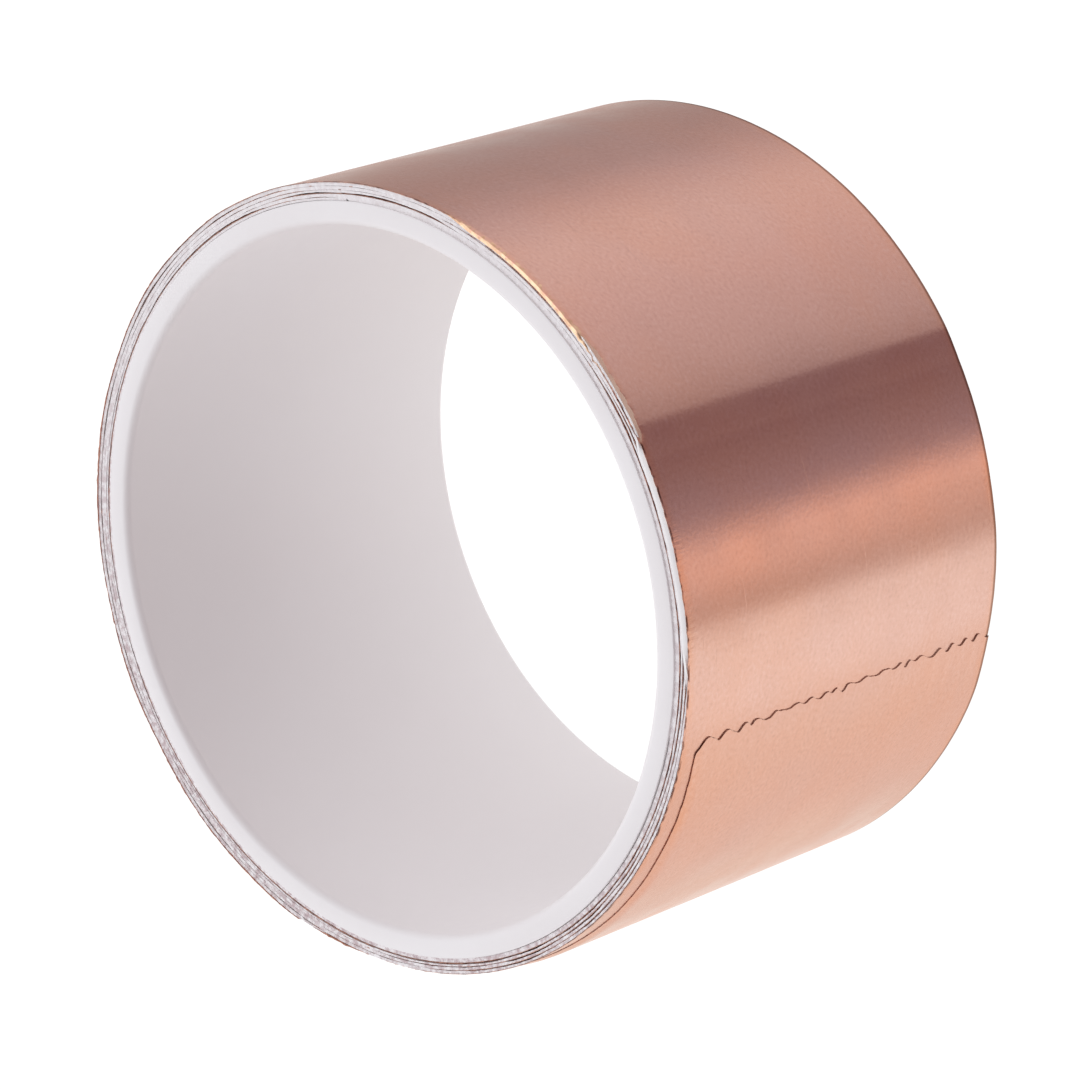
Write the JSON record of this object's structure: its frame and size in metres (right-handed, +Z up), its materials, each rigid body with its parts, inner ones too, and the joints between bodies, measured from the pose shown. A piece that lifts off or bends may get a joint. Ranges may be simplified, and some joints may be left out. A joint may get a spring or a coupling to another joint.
{
  "type": "copper foil tape roll",
  "caption": "Adhesive-backed copper foil tape with a paper release liner, wound on a hollow plastic core, with a torn free end that unrolls.",
  "frame": {"origin": "on the roll's axis, at the plane of the core's lower end, on which the roll lies", "axes": "+Z up along the roll's axis; the torn end of the tape faces -Y and the free end runs from it round the -X side"},
  "size_m": [0.0853, 0.0854, 0.0504],
  "materials": {
    "core_plastic": "smooth white moulded plastic, slightly translucent",
    "copper_foil": "satin rolled copper foil with fine rolling lines and light scratches",
    "adhesive": "clear to straw acrylic adhesive film",
    "liner_paper": "white glossy-coated release paper"
  },
  "bodies": {
    "roll": {"core": "core_plastic", "starter_adhesive": "adhesive", "liner_winding": "liner_paper", "adhesive_winding": "adhesive", "foil_winding": "copper_foil"},
    "tail_1": {"foil_tail_1": "copper_foil", "adhesive_tail_1": "adhesive", "liner_tail_1": "liner_paper"},
    "tail_2": {"foil_tail_2": "copper_foil", "adhesive_tail_2": "adhesive", "liner_tail_2": "liner_paper"},
    "tail_3": {"foil_tail_3": "copper_foil", "adhesive_tail_3": "adhesive", "liner_tail_3": "liner_paper"},
    "tail_4": {"foil_tail_4": "copper_foil", "adhesive_tail_4": "adhesive", "liner_tail_4": "liner_paper"},
    "tail_5": {"foil_tail_5": "copper_foil", "adhesive_tail_5": "adhesive", "liner_tail_5": "liner_paper"},
    "tail_6": {"foil_tail_6": "copper_foil", "adhesive_tail_6": "adhesive"},
    "tail_7": {"foil_tail_7": "copper_foil", "adhesive_tail_7": "adhesive"},
    "tail_8": {"foil_tail_8": "copper_foil", "adhesive_tail_8": "adhesive"},
    "liner_peel_1": {"liner_tail_6": "liner_paper"},
    "liner_peel_2": {"liner_tail_7": "liner_paper"},
    "liner_peel_3": {"liner_tail_8": "liner_paper"}
  },
  "joints": [
    {"name": "unroll_1", "type": "hinge", "parent": "roll", "child": "tail_1", "pos_m": [-0.04252, 0.00437, 0.0252], "axis": [0, 0, -1], "range_deg": [0, 12]},
    {"name": "unroll_2", "type": "hinge", "parent": "tail_1", "child": "tail_2", "pos_m": [-0.04252, -0.00457, 0.0252], "axis": [0, 0, -1], "range_deg": [0, 12]},
    {"name": "unroll_3", "type": "hinge", "parent": "tail_2", "child": "tail_3", "pos_m": [-0.04066, -0.01331, 0.0252], "axis": [0, 0, -1], "range_deg": [0, 12]},
    {"name": "unroll_4", "type": "hinge", "parent": "tail_3", "child": "tail_4", "pos_m": [-0.03702, -0.02148, 0.0252], "axis": [0, 0, -1], "range_deg": [0, 12]},
    {"name": "unroll_5", "type": "hinge", "parent": "tail_4", "child": "tail_5", "pos_m": [-0.03177, -0.02871, 0.0252], "axis": [0, 0, -1], "range_deg": [0, 12]},
    {"name": "unroll_6", "type": "hinge", "parent": "tail_5", "child": "tail_6", "pos_m": [-0.02513, -0.03469, 0.0252], "axis": [0, 0, -1], "range_deg": [0, 12]},
    {"name": "unroll_7", "type": "hinge", "parent": "tail_6", "child": "tail_7", "pos_m": [-0.01739, -0.03915, 0.0252], "axis": [0, 0, -1], "range_deg": [0, 12]},
    {"name": "unroll_8", "type": "hinge", "parent": "tail_7", "child": "tail_8", "pos_m": [-0.00889, -0.04192, 0.0252], "axis": [0, 0, -1], "range_deg": [0, 12]},
    {"name": "peel_1", "type": "hinge", "parent": "tail_5", "child": "liner_peel_1", "pos_m": [-0.02497, -0.03447, 0.0252], "axis": [0, 0, 1], "range_deg": [0, 12]},
    {"name": "peel_2", "type": "hinge", "parent": "liner_peel_1", "child": "liner_peel_2", "pos_m": [-0.01728, -0.03891, 0.0252], "axis": [0, 0, 1], "range_deg": [0, 12]},
    {"name": "peel_3", "type": "hinge", "parent": "liner_peel_2", "child": "liner_peel_3", "pos_m": [-0.00883, -0.04165, 0.0252], "axis": [0, 0, 1], "range_deg": [0, 12]}
  ],
  "couplings": [
    {"joint": "unroll_2", "follows": "unroll_1", "ratio": 1},
    {"joint": "unroll_3", "follows": "unroll_1", "ratio": 1},
    {"joint": "unroll_4", "follows": "unroll_1", "ratio": 1},
    {"joint": "unroll_5", "follows": "unroll_1", "ratio": 1},
    {"joint": "unroll_6", "follows": "unroll_1", "ratio": 1},
    {"joint": "unroll_7", "follows": "unroll_1", "ratio": 1},
    {"joint": "unroll_8", "follows": "unroll_1", "ratio": 1},
    {"joint": "peel_1", "follows": "unroll_1", "ratio": 1},
    {"joint": "peel_2", "follows": "unroll_1", "ratio": 1},
    {"joint": "peel_3", "follows": "unroll_1", "ratio": 1}
  ]
}
